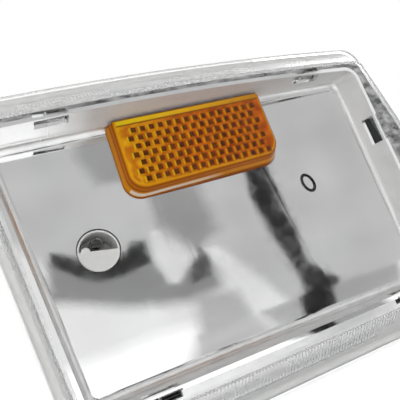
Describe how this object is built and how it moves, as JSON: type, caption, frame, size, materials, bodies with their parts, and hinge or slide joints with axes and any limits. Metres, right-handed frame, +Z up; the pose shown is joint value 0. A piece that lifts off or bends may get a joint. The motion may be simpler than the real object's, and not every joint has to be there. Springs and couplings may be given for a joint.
{
  "type": "corner light",
  "caption": "Clear-lens car corner light with fluted borders, a bright metallised bowl, an amber prism reflector, a rear housing, a twist-in bulb holder and mounting studs.",
  "frame": {"origin": "midway between the two mounting studs, on the plane that their bosses seat on", "axes": "+X to the right of the lens seen from in front, +Y from the lens to the back along the studs, +Z up"},
  "size_m": [0.1894, 0.0522, 0.1229],
  "materials": {
    "clear_lens": "clear gloss moulding with fine flutes",
    "bright_bowl": "vacuum metallised, mirror bright",
    "amber_plastic": "amber prism plastic",
    "housing_plastic": "fine moulded grain",
    "sealant": "soft pale bead",
    "foam": "open-cell foam",
    "zinc_steel": "zinc plated",
    "black_rubber": "moulded",
    "holder_plastic": "natural nylon",
    "contact_metal": "tinned blade",
    "bulb_glass": "clear glass",
    "lamp_wire": "drawn wire"
  },
  "bodies": {
    "root": {"lens": "clear_lens", "lens_seal": "sealant", "reflector": "bright_bowl", "amber_reflector": "amber_plastic", "housing": "housing_plastic", "foam_gasket": "foam", "stud_left": "zinc_steel", "stud_right": "zinc_steel", "vent_cap": "black_rubber", "bulb_holder": "holder_plastic", "holder_seal": "black_rubber", "terminal_left": "contact_metal", "terminal_right": "contact_metal", "bulb_glass": "bulb_glass", "bulb_filament": "lamp_wire", "bulb_leads": "lamp_wire"}
  },
  "joints": []
}
